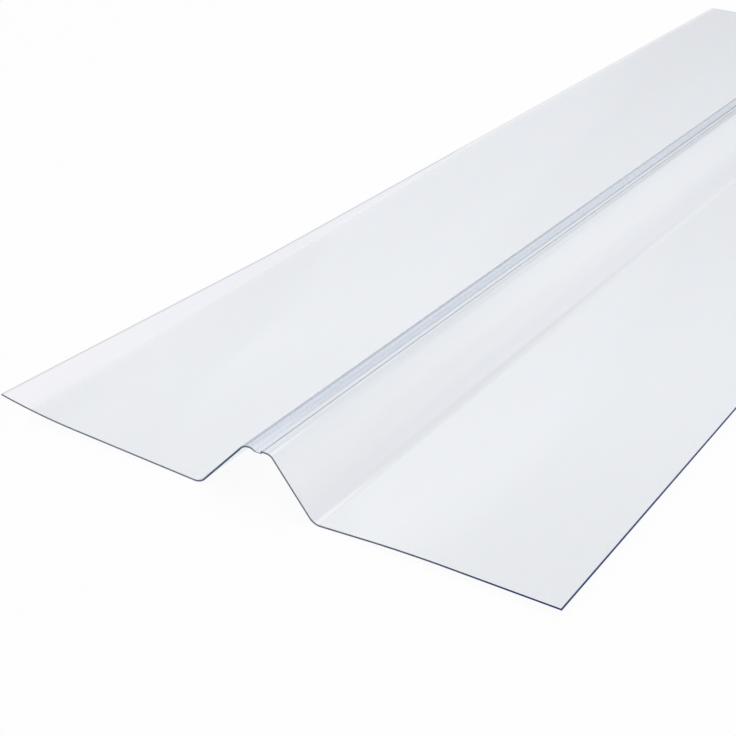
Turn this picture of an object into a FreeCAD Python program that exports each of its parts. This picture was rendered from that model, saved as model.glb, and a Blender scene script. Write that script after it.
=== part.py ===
import FreeCAD, Part
import math
import os
import Sketcher

# Clear PVC roof ridge cap: one length of bent sheet, lying on its two valley bends.
# Millimetres. X runs across the cap, Y along the ridge and Z up.
# The origin is on the floor under the middle of the cap.

doc = FreeCAD.newDocument("RoofRidgeCap")

# Driving sizes, in millimetres and degrees
DRIVING = [
    ("cap_length", 1000.0, "length of the piece along the ridge"),
    ("cap_width", 300.0, "width across both wings"),
    ("sheet_thickness", 0.9, "thickness of the sheet"),
    ("valley_spacing", 67.0, "distance between the two valley bends"),
    ("valley_bend_radius", 7.0, "underside radius from wing to flank"),
    ("flank_angle", 49.0, "slope of both flanks"),
    ("ridge_height", 28.1, "height of the top of the crown"),
    ("crown_bend_radius", 4.8, "underside radius from the left flank to the crown"),
    ("shoulder_bend_radius", 3.6, "underside radius from the crown to the right flank"),
    ("shoulder_drop", 0.25, "how much lower the right side of the crown is"),
    ("shoulder_start", 2.7, "where the right side of the crown begins"),
    ("fold_left", 1.3, "reach of the sunk fold strip to the left of the centre line"),
    ("fold_right", 2.3, "reach of the sunk fold strip to the right of it"),
    ("fold_drop", 1.0, "depth of the fold strip below the crown"),
    ("groove_left", 0.4, "reach of the groove's floor to the left of the centre line"),
    ("groove_right", 1.95, "reach of the groove's floor to the right of it"),
    ("groove_depth", 0.5, "depth of the groove scored into the fold strip"),
    ("groove_slope", 27.0, "slope of the groove's left side"),
    ("wing_pitch", 3.6, "rise of a wing beside its valley"),
    ("easing_start", 60.0, "where a wing begins to level out, from the centre line"),
    ("easing_radius", 557.0, "underside radius over which it levels out"),
    ("corner_length", 230.0, "length of the lifted corner along the left edge"),
    ("corner_pitch", 2.5, "rise of the left wing beside its valley at the near end"),
    ("corner_curl_width", 45.0, "width of the strip that curls up at the near end"),
    ("corner_curl_radius", 347.5, "underside radius of that curl"),
]

# Sizes that follow from the driving ones
FOLLOWING = [
    ("half_width", "=cap_width / 2"),
    ("near_end", "=-cap_length / 2"),
    ("corner_end", "=near_end + corner_length"),
    ("valley_place", "=valley_spacing / 2"),
    ("curl_start", "=half_width - corner_curl_width"),
    ("crown_under", "=ridge_height - sheet_thickness"),
    ("crown_centre", "=crown_under - crown_bend_radius"),
    ("shoulder_under", "=crown_under - shoulder_drop"),
    ("shoulder_centre", "=shoulder_under - shoulder_bend_radius"),
    ("fold_under", "=crown_under - fold_drop"),
    ("groove_floor", "=fold_under + sheet_thickness - groove_depth"),
]

START, END, CENTRE = 1, 2, 3
ORIGIN = (-1, START)


def write_sizes():
    sheet = doc.addObject("Spreadsheet::Sheet", "Sizes")
    rows = [(alias, str(value), meaning) for alias, value, meaning in DRIVING]
    rows += [(alias, formula, "follows from the sizes above") for alias, formula in FOLLOWING]
    for row, (alias, content, meaning) in enumerate(rows, start=1):
        sheet.set(f"A{row}", meaning)
        sheet.set(f"B{row}", content)
        sheet.setAlias(f"B{row}", alias)
    doc.recompute()
    return sheet


def size(alias):
    return float(getattr(doc.Sizes, alias))


def section_sketch(name, label, place):
    # An upright sketch across the cap, at a place along the ridge
    sketch = doc.addObject("Sketcher::SketchObject", name)
    sketch.Label = label
    upright = FreeCAD.Rotation(FreeCAD.Vector(1, 0, 0), 90)
    sketch.Placement = FreeCAD.Placement(FreeCAD.Vector(0, 0, 0), upright)
    sketch.setExpression("Placement.Base.y", place)
    return sketch


def add_line(sketch, start, end):
    first = FreeCAD.Vector(start[0], start[1], 0)
    second = FreeCAD.Vector(end[0], end[1], 0)
    return sketch.addGeometry(Part.LineSegment(first, second), False)


def add_arc(sketch, centre, radius, first, last):
    # Anticlockwise from the first angle to the last, in degrees
    middle = FreeCAD.Vector(centre[0], centre[1], 0)
    circle = Part.Circle(middle, FreeCAD.Vector(0, 0, 1), radius)
    curve = Part.ArcOfCircle(circle, math.radians(first), math.radians(last))
    return sketch.addGeometry(curve, False)


def on_arc(centre, radius, degrees):
    angle = math.radians(degrees)
    return (centre[0] + radius * math.cos(angle), centre[1] + radius * math.sin(angle))


def on_slope(point, across, degrees):
    return (across, point[1] + (across - point[0]) * math.tan(math.radians(degrees)))


def hold(sketch, name, expression, kind, *where):
    # A dimension that takes its value from the sheet
    value = float(sketch.evalExpression(expression))
    if kind == "Angle":
        value = math.radians(value)
    index = sketch.addConstraint(Sketcher.Constraint(kind, *where, value))
    sketch.renameConstraint(index, name)
    sketch.setExpression(f"Constraints.{name}", expression)


def hold_point(sketch, name, across, up, point):
    # The place of a point, measured from the origin; either measure may be left free
    if across:
        hold(sketch, f"{name}_across", across, "DistanceX", *ORIGIN, *point)
    if up:
        hold(sketch, f"{name}_up", up, "DistanceY", *ORIGIN, *point)


def join(sketch, kind, pairs):
    for pair in pairs:
        sketch.addConstraint(Sketcher.Constraint(kind, *pair))


def add_left_wing(sketch, bend_end):
    # Flat edge strip, easing arc, pitched strip and valley bend, from left to right
    bend = size("valley_bend_radius")
    pitch = size("wing_pitch")
    easing = size("easing_radius")
    valley = (-size("valley_place"), bend)
    foot = on_arc(valley, bend, -90 - pitch)
    easing_foot = on_slope(foot, -size("easing_start"), -pitch)
    easing_centre = on_arc(easing_foot, easing, -90 - pitch)
    easing_top = on_arc(easing_centre, easing, 90)
    edge = add_line(sketch, (-size("half_width"), easing_top[1]), easing_top)
    eased = add_arc(sketch, easing_centre, easing, 90 - pitch, 90)
    pitched = add_line(sketch, easing_foot, foot)
    valley_bend = add_arc(sketch, valley, bend, -90 - pitch, bend_end)
    join(sketch, "Tangent", [
        (edge, END, eased, END),
        (eased, START, pitched, START),
        (pitched, END, valley_bend, START),
    ])
    join(sketch, "Horizontal", [(edge,)])
    hold_point(sketch, "left_edge", "-Sizes.half_width", None, (edge, START))
    hold_point(sketch, "left_easing", "-Sizes.easing_start", None, (pitched, START))
    hold_point(sketch, "left_valley", "-Sizes.valley_place", "Sizes.valley_bend_radius", (valley_bend, CENTRE))
    hold(sketch, "left_easing_radius", "Sizes.easing_radius", "Radius", eased)
    hold(sketch, "left_bend_radius", "Sizes.valley_bend_radius", "Radius", valley_bend)
    hold(sketch, "left_pitch", "-Sizes.wing_pitch", "Angle", pitched)
    return valley_bend


def add_right_wing(sketch, bend_start):
    # Valley bend, pitched strip, easing arc and flat edge strip, from left to right
    bend = size("valley_bend_radius")
    pitch = size("wing_pitch")
    easing = size("easing_radius")
    valley = (size("valley_place"), bend)
    foot = on_arc(valley, bend, pitch - 90)
    easing_foot = on_slope(foot, size("easing_start"), pitch)
    easing_centre = on_arc(easing_foot, easing, pitch - 90)
    easing_top = on_arc(easing_centre, easing, 90)
    valley_bend = add_arc(sketch, valley, bend, bend_start, pitch - 90)
    pitched = add_line(sketch, foot, easing_foot)
    eased = add_arc(sketch, easing_centre, easing, 90, 90 + pitch)
    edge = add_line(sketch, easing_top, (size("half_width"), easing_top[1]))
    join(sketch, "Tangent", [
        (valley_bend, END, pitched, START),
        (pitched, END, eased, END),
        (eased, START, edge, START),
    ])
    join(sketch, "Horizontal", [(edge,)])
    hold_point(sketch, "right_edge", "Sizes.half_width", None, (edge, END))
    hold_point(sketch, "right_easing", "Sizes.easing_start", None, (pitched, END))
    hold_point(sketch, "right_valley", "Sizes.valley_place", "Sizes.valley_bend_radius", (valley_bend, CENTRE))
    hold(sketch, "right_easing_radius", "Sizes.easing_radius", "Radius", eased)
    hold(sketch, "right_bend_radius", "Sizes.valley_bend_radius", "Radius", valley_bend)
    hold(sketch, "right_pitch", "Sizes.wing_pitch", "Angle", pitched)
    return valley_bend


def whole_line():
    # The sheet's underside from edge to edge: wing, flank, crown with its fold, flank, wing
    sketch = section_sketch("WholeLine", "underside of the sheet", "0")
    slope = size("flank_angle")
    crown = size("crown_bend_radius")
    shoulder = size("shoulder_bend_radius")
    left_bend = add_left_wing(sketch, slope - 90)
    right_bend = add_right_wing(sketch, -90 - slope)

    # Starting shapes of the ridge, drawn close to where the dimensions settle them
    bend = size("valley_bend_radius")
    left_foot = on_arc((-size("valley_place"), bend), bend, slope - 90)
    right_foot = on_arc((size("valley_place"), bend), bend, -90 - slope)
    flank_run = (size("crown_centre") - left_foot[1]) / math.tan(math.radians(slope))
    left_middle = (left_foot[0] + flank_run + crown, size("crown_centre"))
    right_middle = (-left_middle[0], size("shoulder_centre"))
    fold_left = (-size("fold_left"), size("fold_under"))
    fold_right = (size("fold_right"), size("fold_under"))
    shoulder_start = (size("shoulder_start"), size("shoulder_under"))
    crown_end = 65

    left_flank = add_line(sketch, left_foot, on_arc(left_middle, crown, 90 + slope))
    crown_bend = add_arc(sketch, left_middle, crown, crown_end, 90 + slope)
    fold_fall = add_line(sketch, on_arc(left_middle, crown, crown_end), fold_left)
    fold_strip = add_line(sketch, fold_left, fold_right)
    fold_rise = add_line(sketch, fold_right, shoulder_start)
    shoulder_flat = add_line(sketch, shoulder_start, on_arc(right_middle, shoulder, 90))
    shoulder_bend = add_arc(sketch, right_middle, shoulder, 90 - slope, 90)
    right_flank = add_line(sketch, on_arc(right_middle, shoulder, 90 - slope), right_foot)

    # Each stretch runs on from the one before, without a kink except at the fold strip
    join(sketch, "Tangent", [
        (left_bend, END, left_flank, START),
        (left_flank, END, crown_bend, END),
        (crown_bend, START, fold_fall, START),
        (shoulder_flat, END, shoulder_bend, END),
        (shoulder_bend, START, right_flank, START),
        (right_flank, END, right_bend, START),
    ])
    join(sketch, "Coincident", [
        (fold_fall, END, fold_strip, START),
        (fold_strip, END, fold_rise, START),
        (fold_rise, END, shoulder_flat, START),
    ])
    join(sketch, "Horizontal", [(fold_strip,), (shoulder_flat,)])
    hold_point(sketch, "crown_bend", None, "Sizes.crown_centre", (crown_bend, CENTRE))
    hold_point(sketch, "fold_left", "-Sizes.fold_left", "Sizes.fold_under", (fold_strip, START))
    hold_point(sketch, "fold_right", "Sizes.fold_right", None, (fold_strip, END))
    hold_point(sketch, "shoulder", "Sizes.shoulder_start", "Sizes.shoulder_under", (shoulder_flat, START))
    hold(sketch, "crown_bend_radius", "Sizes.crown_bend_radius", "Radius", crown_bend)
    hold(sketch, "shoulder_bend_radius", "Sizes.shoulder_bend_radius", "Radius", shoulder_bend)
    hold(sketch, "left_slope", "Sizes.flank_angle", "Angle", left_flank)
    hold(sketch, "right_slope", "-Sizes.flank_angle", "Angle", right_flank)
    doc.recompute()
    return sketch


def plain_wing_line():
    # The left wing's underside where the lifted corner has died away, up to its valley
    sketch = section_sketch("PlainWingLine", "left wing behind the corner", "Sizes.corner_end")
    valley_bend = add_left_wing(sketch, -90)
    hold_point(sketch, "valley_floor", "-Sizes.valley_place", None, (valley_bend, END))
    doc.recompute()
    return sketch


def lifted_wing_line():
    # The left wing's underside at the near end: pitched, then curling up to its edge
    sketch = section_sketch("LiftedWingLine", "left wing at the near end", "Sizes.near_end")
    bend = size("valley_bend_radius")
    pitch = size("corner_pitch")
    curl = size("corner_curl_radius")
    valley = (-size("valley_place"), bend)
    foot = on_arc(valley, bend, -90 - pitch)
    middle = on_slope(foot, -size("easing_start"), -pitch)
    curl_foot = on_slope(foot, -size("curl_start"), -pitch)
    curl_centre = on_arc(curl_foot, curl, 90 - pitch)
    curl_reach = math.degrees(size("corner_curl_width") / curl)
    curled = add_arc(sketch, curl_centre, curl, -90 - pitch - curl_reach, -90 - pitch)
    outer = add_line(sketch, curl_foot, middle)
    inner = add_line(sketch, middle, foot)
    valley_bend = add_arc(sketch, valley, bend, -90 - pitch, -90)
    join(sketch, "Tangent", [
        (curled, END, outer, START),
        (inner, END, valley_bend, START),
    ])
    join(sketch, "Coincident", [(outer, END, inner, START)])
    join(sketch, "Parallel", [(outer, inner)])
    hold_point(sketch, "left_edge", "-Sizes.half_width", None, (curled, START))
    hold_point(sketch, "curl_foot", "-Sizes.curl_start", None, (outer, START))
    hold_point(sketch, "middle", "-Sizes.easing_start", None, (inner, START))
    hold_point(sketch, "valley", "-Sizes.valley_place", "Sizes.valley_bend_radius", (valley_bend, CENTRE))
    hold_point(sketch, "valley_floor", "-Sizes.valley_place", None, (valley_bend, END))
    hold(sketch, "curl_radius", "Sizes.corner_curl_radius", "Radius", curled)
    hold(sketch, "bend_radius", "Sizes.valley_bend_radius", "Radius", valley_bend)
    hold(sketch, "pitch", "-Sizes.corner_pitch", "Angle", inner)
    doc.recompute()
    return sketch


def groove_section():
    # The groove that thins the fold strip: sloping on the left, upright on the right
    sketch = section_sketch("GrooveSection", "groove along the fold strip", "0")
    rise = size("ridge_height") - size("groove_floor")
    run = rise / math.tan(math.radians(size("groove_slope")))
    left_lip = (-size("groove_left") - run, size("ridge_height"))
    floor_left = (-size("groove_left"), size("groove_floor"))
    floor_right = (size("groove_right"), size("groove_floor"))
    right_lip = (size("groove_right"), size("ridge_height"))
    falling = add_line(sketch, left_lip, floor_left)
    floor = add_line(sketch, floor_left, floor_right)
    upright = add_line(sketch, floor_right, right_lip)
    closing = add_line(sketch, right_lip, left_lip)
    join(sketch, "Coincident", [
        (falling, END, floor, START),
        (floor, END, upright, START),
        (upright, END, closing, START),
        (closing, END, falling, START),
    ])
    join(sketch, "Horizontal", [(floor,), (closing,)])
    join(sketch, "Vertical", [(upright,)])
    hold_point(sketch, "left_lip", None, "Sizes.ridge_height", (falling, START))
    hold_point(sketch, "floor_left", "-Sizes.groove_left", "Sizes.groove_floor", (floor, START))
    hold_point(sketch, "floor_right", "Sizes.groove_right", None, (floor, END))
    hold(sketch, "groove_slope", "-Sizes.groove_slope", "Angle", falling)
    doc.recompute()
    return sketch


def thicken(name, label, line):
    # The closed section of the sheet above its underside line
    section = doc.addObject("Part::Offset2D", name)
    section.Label = label
    section.Source = line
    section.Mode = "Skin"
    section.Join = "Arc"
    section.Fill = True
    section.setExpression("Value", "Sizes.sheet_thickness")
    return section


def run_along_ridge(name, label, section):
    run = doc.addObject("Part::Extrusion", name)
    run.Label = label
    run.Base = section
    run.DirMode = "Normal"
    run.Symmetric = True
    run.Solid = True
    run.setExpression("LengthFwd", "Sizes.cap_length")
    return run


def corner_space():
    # The block in which the straight sheet gives way to the lifted corner
    space = doc.addObject("Part::Box", "CornerSpace")
    space.Label = "space of the lifted corner"
    space.setExpression("Length", "Sizes.half_width")
    space.setExpression("Width", "2 * Sizes.corner_length")
    space.setExpression("Height", "2 * Sizes.ridge_height")
    space.setExpression("Placement.Base.x", "-Sizes.half_width - Sizes.valley_place")
    space.setExpression("Placement.Base.y", "Sizes.near_end - Sizes.corner_length")
    space.setExpression("Placement.Base.z", "-Sizes.ridge_height")
    return space


def lifted_corner():
    # The near left corner, ruled from the curled section to the plain one
    corner = doc.addObject("Part::Loft", "LiftedCorner")
    corner.Label = "lifted corner"
    near_section = thicken("LiftedWingSection", "section at the near end", lifted_wing_line())
    far_section = thicken("PlainWingSection", "section behind the corner", plain_wing_line())
    corner.Sections = [near_section, far_section]
    corner.Solid = True
    corner.Ruled = True
    return corner


def boolean(kind, name, label, base, tool):
    result = doc.addObject(kind, name)
    result.Label = label
    result.Base = base
    result.Tool = tool
    return result


def make_cap():
    write_sizes()
    straight = run_along_ridge("StraightSheet", "straight sheet", thicken("Section", "section", whole_line()))
    groove = run_along_ridge("Groove", "groove along the ridge", groove_section())
    scored = boolean("Part::Cut", "ScoredSheet", "scored sheet", straight, groove)
    trimmed = boolean("Part::Cut", "TrimmedSheet", "sheet without its corner", scored, corner_space())
    cap = boolean("Part::Fuse", "RidgeCap", "ridge_cap_sheet", trimmed, lifted_corner())
    cap.Placement = FreeCAD.Placement()
    doc.recompute()
    return cap


def check_document():
    for item in doc.Objects:
        faults = [word for word in item.State if word in ("Invalid", "Error")]
        if faults:
            raise RuntimeError(f"{item.Label}: {faults}")
        if hasattr(item, "Shape") and (item.Shape.isNull() or not item.Shape.isValid()):
            raise RuntimeError(f"{item.Label}: the shape is empty or faulty")


cap = make_cap()
check_document()
if len(cap.Shape.Solids) != 1:
    raise RuntimeError("the cap is not one solid")
os.makedirs("parts", exist_ok=True)
cap.Shape.exportStep("parts/ridge_cap_sheet.step")
box = cap.Shape.BoundBox
print(f"size {box.XLength:.2f} x {box.YLength:.2f} x {box.ZLength:.2f} mm, lowest {box.ZMin:.4f}")
print(f"volume {cap.Shape.Volume / 1000:.2f} cm3, {len(cap.Shape.Faces)} faces")
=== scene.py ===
import math

import bmesh
import bpy
from mathutils import Matrix, Vector


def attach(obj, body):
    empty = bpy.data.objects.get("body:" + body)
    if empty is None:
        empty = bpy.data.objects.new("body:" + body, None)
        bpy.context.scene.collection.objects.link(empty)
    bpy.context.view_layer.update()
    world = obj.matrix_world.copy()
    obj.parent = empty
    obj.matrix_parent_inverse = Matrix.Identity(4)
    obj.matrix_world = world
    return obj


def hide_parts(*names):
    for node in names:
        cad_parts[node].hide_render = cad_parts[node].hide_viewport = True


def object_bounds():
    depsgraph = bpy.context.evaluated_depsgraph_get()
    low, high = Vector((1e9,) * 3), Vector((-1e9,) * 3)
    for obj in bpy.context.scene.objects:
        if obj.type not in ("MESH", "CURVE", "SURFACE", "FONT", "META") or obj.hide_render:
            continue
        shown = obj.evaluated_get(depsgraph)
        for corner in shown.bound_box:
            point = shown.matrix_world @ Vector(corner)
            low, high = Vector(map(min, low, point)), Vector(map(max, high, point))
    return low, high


bl_info = {
    "name": "Clear Ridge Cap",
    "version": (1, 0, 0),
    "blender": (4, 5, 0),
    "location": "View3D > Sidebar > Ridge Cap",
    "description": "A clear PVC roof ridge cap, folded from one sheet, on a pale studio floor",
    "category": "Object",
}

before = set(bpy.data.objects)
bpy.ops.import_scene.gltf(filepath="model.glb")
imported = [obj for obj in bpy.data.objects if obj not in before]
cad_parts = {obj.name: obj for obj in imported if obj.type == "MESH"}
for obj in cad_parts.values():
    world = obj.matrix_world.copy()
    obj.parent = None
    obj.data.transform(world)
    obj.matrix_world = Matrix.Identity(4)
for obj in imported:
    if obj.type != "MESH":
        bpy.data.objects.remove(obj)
CAD_LOW, CAD_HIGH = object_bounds()

MM = 0.001
SHEET_NODE = "ridge_cap_sheet"
SHEET_SLOT, EDGE_SLOT = 0, 1
BEND_SEGMENTS = 12
ROWS = 100
COLUMNS = 12
WIDE_STRIP = 20 * MM
SHARP_ANGLE = math.radians(30)
TOOL_OVERRUN = 10 * MM
# What shaders know of the sheet: how strongly PVC bends light, how deep its tint is, how fine
# its die lines, waves and saw marks are
PVC_INDEX = 1.54
TINT_DENSITY = 100.0
WAVE_SCALE = 80.0
DIE_LINE_SCALE = 160.0
SAW_MARK_SCALE = 240.0
PLAIN = (1.0, 1.0, 1.0)
# The floor, and how much of it shows as plain paper; the rest keeps the shadow
FLOOR_REACH = 40
FLOOR_GAP = 0.1 * MM
FLOOR_PLAIN_SHARE = 0.92
# Heights in the surroundings, as the upward part of a direction: where the screens end in the
# dim room, how they slant to the right, how much taller they are behind, where the ceiling starts
SCREEN_TOP = (0.36, 0.54)
SCREEN_SLANT = 0.24
REAR_RISE = 0.1
CEILING_RIM = (0.645, 0.685)


def srgb(code):
    # A hex colour as the linear values that shaders take
    parts = [int(code[i:i + 2], 16) / 255 for i in (1, 3, 5)]
    return tuple(p / 12.92 if p <= 0.04045 else ((p + 0.055) / 1.055) ** 2.4 for p in parts)


def length(name, description, millimetres):
    return bpy.props.FloatProperty(
        name=name, description=description, default=millimetres * MM, unit="LENGTH", precision=5)


def angle(name, description, degrees):
    return bpy.props.FloatProperty(
        name=name, description=description, default=math.radians(degrees), subtype="ANGLE")


def colour(name, description, code):
    return bpy.props.FloatVectorProperty(
        name=name, description=description, default=srgb(code), size=3, subtype="COLOR", min=0, max=1)


class SheetSettings(bpy.types.PropertyGroup):
    thickness: length("Thickness", "Thickness of the sheet", 0.9)
    valley_spacing: length("Valley spacing", "Distance between the two valley bends", 67.0)
    valley_radius: length("Valley radius", "Underside radius from wing to flank", 7.0)
    flank_angle: angle("Flank angle", "Slope of both flanks", 49.0)
    ridge_height: length("Ridge height", "Height of the top of the crown", 28.1)
    crown_radius: length("Crown radius", "Underside radius from the left flank to the crown", 4.8)
    shoulder_radius: length("Shoulder radius", "Underside radius from the crown to the right flank", 3.6)
    shoulder_drop: length("Shoulder drop", "How much lower the right of the crown is", 0.25)
    shoulder_start: length("Shoulder start", "Where the right of the crown begins", 2.7)
    fold_left: length("Fold left", "Reach of the sunk fold strip to the left", 1.3)
    fold_right: length("Fold right", "Reach of the sunk fold strip to the right", 2.3)
    fold_drop: length("Fold drop", "Depth of the fold strip below the crown", 1.0)
    groove_left: length("Groove left", "Reach of the scored groove's floor to the left", 0.4)
    groove_right: length("Groove right", "Reach of the scored groove's floor to the right", 1.95)
    groove_depth: length("Groove depth", "Depth of the groove in the fold strip", 0.5)
    groove_slope: angle("Groove slope", "Slope of the groove's left side", 27.0)
    wing_pitch: angle("Wing pitch", "Rise of a wing beside its valley", 3.6)
    easing_start: length("Easing start", "Where a wing begins to level out", 60.0)
    easing_radius: length("Easing radius", "Radius over which a wing levels out", 557.0)
    corner_length: length("Corner length", "Length of the lifted corner along its edge", 230.0)
    corner_pitch: angle("Corner pitch", "Rise of the left wing at the near end", 2.5)
    corner_curl_width: length("Corner curl width", "Strip that curls up at the near end", 45.0)
    corner_curl_radius: length("Corner curl radius", "Radius of that curl", 347.5)
    tint: colour("Sheet tint", "What the clear sheet lets through along a path", "#ACCFF8")
    # Painted shade on the crown, its crest and the right flank beside its valley, drawn into the sheet's
    # colour
    crown_painted_shade: colour("Crown tint", "Shade of the sheet where it was heated to fold the crown", "#F9FCFF")
    crest_painted_shade: colour("Crest tint", "Shade of the outer side of the crown's left bend", "#E4EAF4")
    valley_painted_shade: colour("Valley tint", "Shade of the right flank beside its valley", "#F9F9FA")
    # Painted highlight: the margin along the left edge is drawn without reflection, so it looks paler than
    # the wing
    margin_painted_highlight: colour("Margin tint", "Shade of the matt margin along the left edge", "#FFFDFC")
    # Painted shade: a faint grey line at the rim of that margin
    margin_rim_painted_shade: colour("Margin rim", "Shade of the clear cut edge outside the matt margin", "#E4E4E6")
    margin_width: length("Margin width", "Width of the matt margin at the near end", 16.0)
    # The cut edges' colours hold painted shade and light: darker on the left flank and at the far right,
    # pale when seen from inside the sheet
    edge_left: colour("Cut edge, left", "Colour of the cut edge on the left wing and right flank", "#7D8496")
    edge_flank_painted_shade: colour("Cut edge, left flank", "Colour of the cut edge on the shaded left flank", "#4A6286")
    edge_right_painted_shade: colour("Cut edge, right", "Colour of the cut edge at the far right", "#2C3F78")
    edge_inside_painted_light: colour("Cut edge from inside", "Colour of a cut edge seen through the sheet", "#F2F3F6")


class StageSettings(bpy.types.PropertyGroup):
    lens: bpy.props.FloatProperty(name="Lens", description="Focal length in mm", default=78.23)
    camera_place: bpy.props.FloatVectorProperty(
        name="Camera place", description="Where the camera stands", size=3, subtype="TRANSLATION",
        unit="LENGTH", default=(0.34138, -1.00696, 0.37984))
    camera_turns: bpy.props.FloatVectorProperty(
        name="Camera turns", description="Yaw, tilt and roll of the camera", size=3, subtype="EULER",
        default=(math.radians(29.554), math.radians(63.107), math.radians(3.001)))
    lamp_place: bpy.props.FloatVectorProperty(
        name="Lamp place", description="Where the soft lamp hangs", size=3, subtype="TRANSLATION",
        unit="LENGTH", default=(0.8, 0.3, 2.2))
    lamp_size: length("Lamp size", "Width of the soft lamp", 1200.0)
    lamp_power: bpy.props.FloatProperty(
        name="Lamp power", description="Power of the soft lamp", default=12.0, unit="POWER")
    floor_colour: colour("Floor", "Colour of the studio floor", "#FFFFFF")
    sky_colour: colour("Ceiling", "Colour of the soft light from above", "#FFFFFF")
    screen_left: colour("Left screen", "Colour of the screen low at the left", "#C1C1C2")
    screen_behind: colour("Rear screen", "Colour of the screen low behind the cap", "#D2D2D3")
    screen_right: colour("Right screen", "Colour of the screen low at the right", "#C8C8C9")
    room_colour: colour("Room", "Colour of the dim room above the screens", "#404142")


def add_node(tree, kind, sockets=None, **settings):
    node = tree.nodes.new(kind)
    for name, value in settings.items():
        setattr(node, name, value)
    for name, value in (sockets or {}).items():
        if isinstance(value, bpy.types.NodeSocket):
            tree.links.new(value, node.inputs[name])
        else:
            node.inputs[name].default_value = value
    return node


def new_material(name):
    material = bpy.data.materials.new(name)
    material.use_nodes = True
    material.node_tree.nodes.clear()
    return material, material.node_tree


def band(tree, value, middle, inner, outer):
    # 1 within a band around a middle value, fading to 0 outside it
    offset = add_node(tree, "ShaderNodeMath", {0: value, 1: middle}, operation="SUBTRACT")
    reach = add_node(tree, "ShaderNodeMath", {0: offset.outputs[0]}, operation="ABSOLUTE")
    return add_node(tree, "ShaderNodeMapRange", {
        "Value": reach.outputs[0], "From Min": inner, "From Max": outer, "To Min": 1.0, "To Max": 0.0},
        interpolation_type="SMOOTHSTEP").outputs["Result"]


def colour_steps(tree, value, steps):
    # Colours that follow a value: each step is a place and the colour there
    low, high = steps[0][0], steps[-1][0]
    share = add_node(tree, "ShaderNodeMapRange", {"Value": value, "From Min": low, "From Max": high})
    ramp = add_node(tree, "ShaderNodeValToRGB", {"Fac": share.outputs["Result"]})
    elements = ramp.color_ramp.elements
    while len(elements) < len(steps):
        elements.new(1.0)
    for element, (place, tone) in zip(elements, steps):
        element.position = (place - low) / (high - low)
        element.color = (*tone, 1.0)
    return ramp.outputs["Color"]


def painted_fold_shade(tree, across, settings):
    # Painted shade: the crown and its crest are drawn a little darker and bluer, and the right flank beside
    # its valley a little darker
    return colour_steps(tree, across, [(place * MM, tone) for place, tone in (
        (-9.0, PLAIN), (-8.8, settings.crest_painted_shade), (-6.8, settings.crest_painted_shade),
        (-6.3, settings.crown_painted_shade), (2.5, settings.crown_painted_shade), (12.0, PLAIN),
        (18.0, PLAIN), (25.0, settings.valley_painted_shade), (30.0, settings.valley_painted_shade), (33.0, PLAIN))])


def painted_highlight_margin(tree, across, along_ridge, settings):
    # Painted highlight: the curled left margin is drawn without reflection, so it looks paler than the wing.
    # It is widest at the near end and runs out at half the length.
    margin_edge = add_node(tree, "ShaderNodeMapRange", {
        "Value": along_ridge, "From Min": CAD_LOW.y, "From Max": 0.0,
        "To Min": CAD_LOW.x + settings.margin_width, "To Max": CAD_LOW.x + 0.1 * MM})
    # On the side where light leaves it is wider, so that light let in straight also gets out
    leaving = add_node(tree, "ShaderNodeNewGeometry").outputs["Backfacing"]
    margin_reach = add_node(tree, "ShaderNodeMath", {
        0: leaving, 1: 2.5 * MM, 2: margin_edge.outputs["Result"]}, operation="MULTIPLY_ADD")
    on_margin = add_node(tree, "ShaderNodeMath", {
        0: across, 1: margin_reach.outputs[0]}, operation="LESS_THAN")
    # Painted shade at the very rim, a faint grey line, then the pale margin
    shade = colour_steps(tree, across, [
        (CAD_LOW.x + 0.1 * MM, settings.margin_rim_painted_shade), (CAD_LOW.x + 0.3 * MM, settings.margin_painted_highlight)])
    unmirrored = add_node(tree, "ShaderNodeBsdfTransparent", {"Color": shade})
    return on_margin.outputs[0], unmirrored.outputs["BSDF"]


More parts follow.
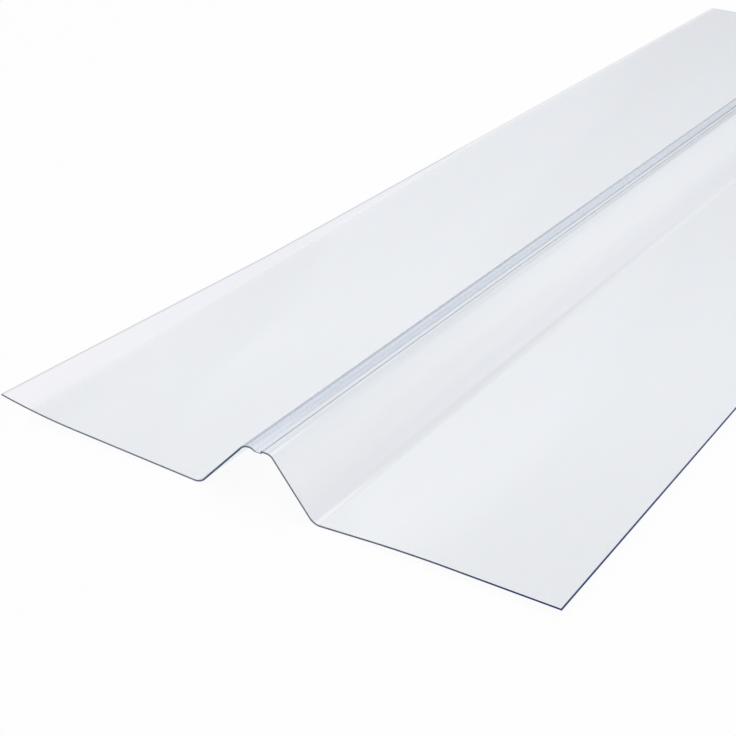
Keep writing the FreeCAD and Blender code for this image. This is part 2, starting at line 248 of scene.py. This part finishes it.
def clear_pvc(settings):
    # Clear rigid PVC, extruded as flat sheet and folded warm: glossy, faintly blue,
    # with fine die lines along the ridge that catch the light as soft streaks
    material, tree = new_material("Clear PVC sheet")
    place = add_node(tree, "ShaderNodeTexCoord").outputs["Object"]
    places = add_node(tree, "ShaderNodeSeparateXYZ", {"Vector": place}).outputs
    across = places["X"]
    stretched = add_node(tree, "ShaderNodeMapping", {"Vector": place, "Scale": (1.0, 0.02, 1.0)})
    waves = add_node(tree, "ShaderNodeTexNoise", {
        "Vector": stretched.outputs["Vector"], "Scale": WAVE_SCALE, "Detail": 1.0})
    on_flank = band(tree, across, 18 * MM, 10 * MM, 16 * MM)
    swell = add_node(tree, "ShaderNodeMath", {
        0: waves.outputs["Fac"], 1: on_flank}, operation="MULTIPLY")
    wavy = add_node(tree, "ShaderNodeBump", {
        "Height": swell.outputs[0], "Strength": 1.0, "Distance": 0.5 * MM})
    die_lines = add_node(tree, "ShaderNodeTexNoise", {
        "Vector": stretched.outputs["Vector"], "Scale": DIE_LINE_SCALE, "Detail": 3.0, "Roughness": 0.6})
    bump = add_node(tree, "ShaderNodeBump", {
        "Height": die_lines.outputs["Fac"], "Strength": 0.15, "Distance": 0.1 * MM,
        "Normal": wavy.outputs["Normal"]})
    gloss = add_node(tree, "ShaderNodeMapRange", {
        "Value": die_lines.outputs["Fac"], "To Min": 0.0, "To Max": 0.05})
    # Painted shade: the last half millimetre at the right takes the right cut edge's dark colour, so that
    # edge shows as a wider dark line
    painted_edge_shade = add_node(tree, "ShaderNodeMapRange", {
        "Value": across, "From Min": CAD_HIGH.x - 0.6 * MM, "From Max": CAD_HIGH.x - 0.4 * MM})
    shade = add_node(tree, "ShaderNodeMix", {
        "Factor": painted_edge_shade.outputs["Result"], 6: painted_fold_shade(tree, across, settings),
        7: (*settings.edge_right_painted_shade, 1.0)}, data_type="RGBA")
    sheet = add_node(tree, "ShaderNodeBsdfPrincipled", {
        "Base Color": shade.outputs[2], "Roughness": gloss.outputs["Result"], "IOR": PVC_INDEX,
        "Transmission Weight": 1.0, "Normal": bump.outputs["Normal"]})
    on_margin, unmirrored = painted_highlight_margin(tree, across, places["Y"], settings)
    surface = add_node(tree, "ShaderNodeMixShader", {
        "Fac": on_margin, 1: sheet.outputs["BSDF"], 2: unmirrored})
    tint = add_node(tree, "ShaderNodeVolumeAbsorption", {
        "Color": (*settings.tint, 1.0), "Density": TINT_DENSITY})
    add_node(tree, "ShaderNodeOutputMaterial", {
        "Surface": surface.outputs["Shader"], "Volume": tint.outputs["Volume"]})
    return material


def cut_edge(settings):
    # The sawn edge of the same sheet: light is piped away along it, so it looks slate blue; that look is
    # painted into its colour
    material, tree = new_material("Sawn PVC edge")
    place = add_node(tree, "ShaderNodeTexCoord").outputs["Object"]
    across = add_node(tree, "ShaderNodeSeparateXYZ", {"Vector": place}).outputs["X"]
    saw_marks = add_node(tree, "ShaderNodeTexNoise", {
        "Vector": place, "Scale": SAW_MARK_SCALE, "Detail": 4.0, "Roughness": 0.65})
    shade = add_node(tree, "ShaderNodeMapRange", {
        "Value": saw_marks.outputs["Fac"], "From Min": 0.3, "From Max": 0.7, "To Min": 0.8, "To Max": 1.25})
    # Painted shade: the cut edge is darker on the shaded left flank and towards the far right
    outside = colour_steps(tree, across, [(place * MM, tone) for place, tone in (
        (-31, settings.edge_left), (-28, settings.edge_flank_painted_shade), (-10, settings.edge_flank_painted_shade),
        (-7, settings.edge_left), (30, settings.edge_left), (125, settings.edge_right_painted_shade))])
    # Painted light: a cut edge seen from inside the sheet is drawn pale
    inside = add_node(tree, "ShaderNodeNewGeometry").outputs["Backfacing"]
    tone = add_node(tree, "ShaderNodeMix", {
        "Factor": inside, 6: outside, 7: (*settings.edge_inside_painted_light, 1.0)}, data_type="RGBA")
    mixed = add_node(tree, "ShaderNodeVectorMath", {
        0: tone.outputs[2], "Scale": shade.outputs["Result"]}, operation="SCALE")
    bump = add_node(tree, "ShaderNodeBump", {
        "Height": saw_marks.outputs["Fac"], "Strength": 0.3, "Distance": 0.05 * MM})
    edge = add_node(tree, "ShaderNodeBsdfPrincipled", {
        "Base Color": mixed.outputs["Vector"], "Roughness": 0.6, "IOR": PVC_INDEX,
        "Specular IOR Level": 0.1, "Normal": bump.outputs["Normal"]})
    add_node(tree, "ShaderNodeOutputMaterial", {"Surface": edge.outputs["BSDF"]})
    return material


def along(centre, radius, heading):
    # A point at a distance from a centre, in the section's plane
    return centre + radius * Vector((math.cos(heading), math.sin(heading)))


def fold_point(centre, radius, before, after):
    # Where two straight stretches would meet if the bend between them were a sharp fold
    side = math.copysign(math.pi / 2, after - before)
    return along(centre, radius / math.cos((after - before) / 2), (before + after) / 2 - side)


def section_folds(s):
    # The underside as sharp folds from edge to edge: (place, bend radius, turn) for each fold
    low, high = CAD_LOW, CAD_HIGH
    quarter = math.pi / 2
    valley = Vector((s.valley_spacing / 2, s.valley_radius))
    crown_under = s.ridge_height - s.thickness
    left = Vector((-1, 1))

    def crown_centre(height, radius):
        rise = height - radius - valley.y
        run = (math.cos(s.flank_angle) * rise + s.valley_radius + radius) / math.sin(s.flank_angle)
        return Vector((valley.x - run, valley.y + rise))

    crown = crown_centre(crown_under, s.crown_radius) * left
    shoulder_bend = crown_centre(crown_under - s.shoulder_drop, s.shoulder_radius)
    shoulder = Vector((s.shoulder_start, crown_under - s.shoulder_drop))
    fold_left = Vector((-s.fold_left, crown_under - s.fold_drop))
    fold_right = Vector((s.fold_right, crown_under - s.fold_drop))
    to_fold = fold_left - crown
    fall = math.atan2(to_fold.y, to_fold.x) - math.asin(s.crown_radius / to_fold.length)
    foot = along(valley, s.valley_radius, s.wing_pitch - quarter)
    easing_x = s.easing_start + s.easing_radius * math.tan(s.wing_pitch / 2) * math.cos(s.wing_pitch)
    easing = Vector((easing_x, foot.y + (easing_x - foot.x) * math.tan(s.wing_pitch)))
    valley_fold = fold_point(valley, s.valley_radius, -s.flank_angle, s.wing_pitch)
    return [
        (Vector((low.x, easing.y)), 0, 0),
        (easing * left, s.easing_radius, s.wing_pitch),
        (valley_fold * left, s.valley_radius, s.flank_angle + s.wing_pitch),
        (fold_point(crown, s.crown_radius, s.flank_angle, fall), s.crown_radius, s.flank_angle - fall),
        (fold_left, 0, 0),
        (fold_right, 0, 0),
        (shoulder, 0, 0),
        (fold_point(shoulder_bend, s.shoulder_radius, 0, -s.flank_angle), s.shoulder_radius, s.flank_angle),
        (valley_fold, s.valley_radius, s.flank_angle + s.wing_pitch),
        (easing, s.easing_radius, s.wing_pitch),
        (Vector((high.x, easing.y)), 0, 0),
    ]


def is_lengthwise(edge):
    return abs(edge.verts[0].co.y - edge.verts[1].co.y) > MM


def near_place(edge, place):
    middle = (edge.verts[0].co + edge.verts[1].co) / 2
    return (Vector((middle.x, middle.z)) - place).length < 0.01 * MM


def fold_sheet(bm, folds):
    # A strip of flat panels first, drawn out along the ridge, then each fold is rounded
    line = [bm.verts.new((place.x, CAD_LOW.y, place.y)) for place, _, _ in folds]
    edges = [bm.edges.new(pair) for pair in zip(line, line[1:])]
    drawn = bmesh.ops.extrude_edge_only(bm, edges=edges)["geom"]
    new_verts = [item for item in drawn if isinstance(item, bmesh.types.BMVert)]
    bmesh.ops.translate(bm, verts=new_verts, vec=(0, CAD_HIGH.y - CAD_LOW.y, 0))
    for place, radius, turn in folds:
        if not radius:
            continue
        fold = [e for e in bm.edges if is_lengthwise(e) and near_place(e, place)]
        bmesh.ops.bevel(
            bm, geom=fold, affect="EDGES", offset_type="OFFSET", offset=radius * math.tan(turn / 2),
            segments=BEND_SEGMENTS, profile=0.5, material=-1, clamp_overlap=False)
    if bm.faces[:][0].normal.z < 0:
        bmesh.ops.reverse_faces(bm, faces=bm.faces[:])


def divide(bm):
    # Rows along the ridge, and columns in the wide flat strips, so the sheet can curl
    bmesh.ops.subdivide_edges(bm, edges=[e for e in bm.edges if is_lengthwise(e)], cuts=ROWS - 1)
    wide = [e for e in bm.edges if abs(e.verts[0].co.x - e.verts[1].co.x) > WIDE_STRIP]
    bmesh.ops.subdivide_edges(bm, edges=wide, cuts=COLUMNS - 1)


def lift_corner(bm, s):
    # The near left corner of the sheet curls up a little, less and less along its edge
    valley = Vector((-s.valley_spacing / 2, s.valley_radius))
    foot = along(valley, s.valley_radius, -math.pi / 2 - s.corner_pitch)
    curl_start = CAD_LOW.x + s.corner_curl_width
    slope = math.tan(s.corner_pitch)
    for vert in bm.verts:
        share = 1 - (vert.co.y - CAD_LOW.y) / s.corner_length
        if vert.co.x > foot.x or share <= 0:
            continue
        raised = foot.y + (foot.x - vert.co.x) * slope
        if vert.co.x < curl_start:
            raised += curl_rise(curl_start - vert.co.x, s.corner_curl_radius, s.corner_pitch)
        vert.co.z += share * (raised - vert.co.z)


def curl_rise(reach, radius, pitch):
    # How far an arc that starts at a pitch has risen above that pitch after a reach
    start = math.sin(pitch)
    end = start + reach / radius
    return radius * (math.cos(pitch) - math.sqrt(1 - end * end)) - reach * math.tan(pitch)


def thicken(piece, s):
    # Gives the sheet its thickness upwards
    solid = piece.modifiers.new("Thickness", "SOLIDIFY")
    solid.thickness = s.thickness
    solid.offset = 1
    solid.use_even_offset = True
    solid.material_offset_rim = EDGE_SLOT


def groove_tool(context, s):
    # A long bar with the groove's section: sloping on the left, upright on the right
    floor = s.ridge_height - s.fold_drop - s.groove_depth
    top = s.ridge_height
    corners = [
        (-s.groove_left, floor), (s.groove_right, floor),
        (s.groove_right, top), (-s.groove_left - (top - floor) / math.tan(s.groove_slope), top)]
    bm = bmesh.new()
    start = bm.faces.new([bm.verts.new((x, CAD_LOW.y - TOOL_OVERRUN, z)) for x, z in corners])
    drawn = bmesh.ops.extrude_face_region(bm, geom=[start])["geom"]
    new_verts = [item for item in drawn if isinstance(item, bmesh.types.BMVert)]
    bmesh.ops.translate(bm, verts=new_verts, vec=(0, CAD_HIGH.y - CAD_LOW.y + 2 * TOOL_OVERRUN, 0))
    bmesh.ops.recalc_face_normals(bm, faces=bm.faces[:])
    mesh = bpy.data.meshes.new("groove_tool")
    bm.to_mesh(mesh)
    bm.free()
    tool = bpy.data.objects.new("groove_tool", mesh)
    context.scene.collection.objects.link(tool)
    return tool


def score_groove(context, piece, s):
    # Cuts the groove into the fold strip, and leaves the finished sheet as plain mesh
    tool = groove_tool(context, s)
    cut = piece.modifiers.new("Groove", "BOOLEAN")
    cut.operation = "DIFFERENCE"
    cut.solver = "EXACT"
    cut.object = tool
    finished = bpy.data.meshes.new_from_object(piece.evaluated_get(context.evaluated_depsgraph_get()))
    piece.modifiers.clear()
    piece.data = finished
    bpy.data.objects.remove(tool)


def clear_left_edge(mesh):
    # The long edge beside the pale margin takes the sheet's material, not the cut edge's, so it shows only
    # as the margin's faint painted grey rim
    for face in mesh.polygons:
        if face.material_index == EDGE_SLOT and face.normal.x < -0.9:
            face.material_index = SHEET_SLOT


class RIDGECAP_OT_sheet(bpy.types.Operator):
    """Fold the clear sheet of the ridge cap, in place of its plain solid"""

    bl_idname = "ridgecap.sheet"
    bl_label = "Folded sheet"

    def execute(self, context):
        s = context.scene.ridgecap_sheet
        bm = bmesh.new()
        fold_sheet(bm, section_folds(s))
        divide(bm)
        lift_corner(bm, s)
        mesh = bpy.data.meshes.new("folded_sheet")
        bm.to_mesh(mesh)
        bm.free()
        mesh.materials.append(clear_pvc(s))
        mesh.materials.append(cut_edge(s))
        piece = bpy.data.objects.new("folded_sheet", mesh)
        context.scene.collection.objects.link(piece)
        thicken(piece, s)
        score_groove(context, piece, s)
        clear_left_edge(piece.data)
        piece.data.shade_smooth()
        piece.data.set_sharp_from_angle(angle=SHARP_ANGLE)
        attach(piece, "root")
        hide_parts(SHEET_NODE)
        return {"FINISHED"}


def floor_material(settings):
    # Matt white studio floor: it shows as white paper, and keeps a soft shadow
    material, tree = new_material("White studio floor")
    paper = add_node(tree, "ShaderNodeBsdfDiffuse", {"Color": (*settings.floor_colour, 1.0)})
    glow = add_node(tree, "ShaderNodeEmission", {"Color": (*PLAIN, 1.0), "Strength": 1.0})
    seen = seen_rays(tree)
    share = add_node(tree, "ShaderNodeMath", {0: seen, 1: FLOOR_PLAIN_SHARE}, operation="MULTIPLY")
    mix = add_node(tree, "ShaderNodeMixShader", {
        "Fac": share.outputs[0], 1: paper.outputs["BSDF"], 2: glow.outputs["Emission"]})
    add_node(tree, "ShaderNodeOutputMaterial", {"Surface": mix.outputs["Shader"]})
    return material


def seen_rays(tree):
    # 1 for rays that show the surface in the picture, straight, mirrored or through the sheet
    path = add_node(tree, "ShaderNodeLightPath").outputs
    mirrored = add_node(tree, "ShaderNodeMath", {
        0: path["Is Camera Ray"], 1: path["Is Glossy Ray"]}, operation="MAXIMUM")
    through = add_node(tree, "ShaderNodeMath", {
        0: mirrored.outputs[0], 1: path["Is Transmission Ray"]}, operation="MAXIMUM")
    return through.outputs[0]


def light_surroundings(scene, settings):
    # Pale screens stand low around the cap, with a dim room above them and a bright ceiling
    world = bpy.data.worlds.new("Soft studio light")
    scene.world = world
    world.use_nodes = True
    tree = world.node_tree
    tree.nodes.clear()
    direction = add_node(tree, "ShaderNodeTexCoord").outputs["Generated"]
    parts = add_node(tree, "ShaderNodeSeparateXYZ", {"Vector": direction}).outputs
    slanted = add_node(tree, "ShaderNodeMath", {
        0: parts["X"], 1: SCREEN_SLANT, 2: parts["Z"]}, operation="MULTIPLY_ADD")
    taller_behind = add_node(tree, "ShaderNodeMath", {
        0: band(tree, parts["X"], 0.06, 0.1, 0.27), 1: -REAR_RISE, 2: slanted.outputs[0]},
        operation="MULTIPLY_ADD")
    dim = add_node(tree, "ShaderNodeMapRange", {
        "Value": taller_behind.outputs[0], "From Min": SCREEN_TOP[0], "From Max": SCREEN_TOP[1]},
        interpolation_type="SMOOTHSTEP")
    overhead = add_node(tree, "ShaderNodeMapRange", {
        "Value": parts["Z"], "From Min": CEILING_RIM[0], "From Max": CEILING_RIM[1]},
        interpolation_type="SMOOTHSTEP")
    screens = colour_steps(tree, parts["X"], [
        (-0.49, settings.screen_left), (-0.478, settings.screen_behind),
        (-0.36, settings.screen_behind), (-0.33, settings.screen_right)])
    walls = add_node(tree, "ShaderNodeMix", {
        "Factor": dim.outputs["Result"], 6: screens, 7: (*settings.room_colour, 1.0)}, data_type="RGBA")
    around = add_node(tree, "ShaderNodeMix", {
        "Factor": overhead.outputs["Result"], 6: walls.outputs[2], 7: (*settings.sky_colour, 1.0)},
        data_type="RGBA")
    soft = add_node(tree, "ShaderNodeBackground", {"Color": around.outputs[2], "Strength": 1.0})
    add_node(tree, "ShaderNodeOutputWorld", {"Surface": soft.outputs["Background"]})


def lay_floor(scene, settings):
    bm = bmesh.new()
    bmesh.ops.create_grid(bm, x_segments=1, y_segments=1, size=FLOOR_REACH)
    bmesh.ops.translate(bm, verts=bm.verts[:], vec=(0, 0, -FLOOR_GAP))
    mesh = bpy.data.meshes.new("studio_floor")
    bm.to_mesh(mesh)
    bm.free()
    mesh.materials.append(floor_material(settings))
    floor = bpy.data.objects.new("studio_floor", mesh)
    scene.collection.objects.link(floor)


def hang_lamp(scene, settings):
    # One soft square lamp, aimed at the middle of the cap
    lamp = bpy.data.lights.new("key_lamp", "AREA")
    lamp.size = settings.lamp_size
    lamp.energy = settings.lamp_power
    holder = bpy.data.objects.new("key_lamp", lamp)
    holder.location = settings.lamp_place
    holder.rotation_euler = (-holder.location).to_track_quat("-Z", "Y").to_euler()
    scene.collection.objects.link(holder)


def place_camera(scene, settings):
    camera = bpy.data.cameras.new("photo_camera")
    camera.sensor_width = 36
    camera.lens = settings.lens
    camera.clip_start = 0.01
    holder = bpy.data.objects.new("photo_camera", camera)
    yaw, tilt, roll = settings.camera_turns
    turned = Matrix.Rotation(yaw, 4, "Z") @ Matrix.Rotation(tilt, 4, "X") @ Matrix.Rotation(roll, 4, "Z")
    holder.matrix_world = Matrix.Translation(settings.camera_place) @ turned
    scene.collection.objects.link(holder)
    scene.camera = holder


class RIDGECAP_OT_stage(bpy.types.Operator):
    """Set up the pale floor, the soft lamps and the camera"""

    bl_idname = "ridgecap.stage"
    bl_label = "Studio"

    def execute(self, context):
        scene = context.scene
        s = scene.ridgecap_stage
        lay_floor(scene, s)
        light_surroundings(scene, s)
        hang_lamp(scene, s)
        place_camera(scene, s)
        scene.view_settings.view_transform = "Standard"
        return {"FINISHED"}


class RIDGECAP_PT_panel(bpy.types.Panel):
    """The ridge cap's pieces and stage in the sidebar"""

    bl_idname = "RIDGECAP_PT_panel"
    bl_label = "Ridge Cap"
    bl_space_type = "VIEW_3D"
    bl_region_type = "UI"
    bl_category = "Ridge Cap"

    def draw(self, context):
        scene = context.scene
        for group, operator in (
                (scene.ridgecap_sheet, RIDGECAP_OT_sheet), (scene.ridgecap_stage, RIDGECAP_OT_stage)):
            box = self.layout.box()
            for name in group.__annotations__:
                box.prop(group, name)
            box.operator(operator.bl_idname)


CLASSES = (SheetSettings, StageSettings, RIDGECAP_OT_sheet, RIDGECAP_OT_stage, RIDGECAP_PT_panel)


def register():
    for item in CLASSES:
        bpy.utils.register_class(item)
    bpy.types.Scene.ridgecap_sheet = bpy.props.PointerProperty(type=SheetSettings)
    bpy.types.Scene.ridgecap_stage = bpy.props.PointerProperty(type=StageSettings)


def unregister():
    del bpy.types.Scene.ridgecap_stage
    del bpy.types.Scene.ridgecap_sheet
    for item in reversed(CLASSES):
        bpy.utils.unregister_class(item)


def main():
    register()
    bpy.ops.ridgecap.sheet()
    bpy.ops.ridgecap.stage()


if __name__ == "__main__":
    main()
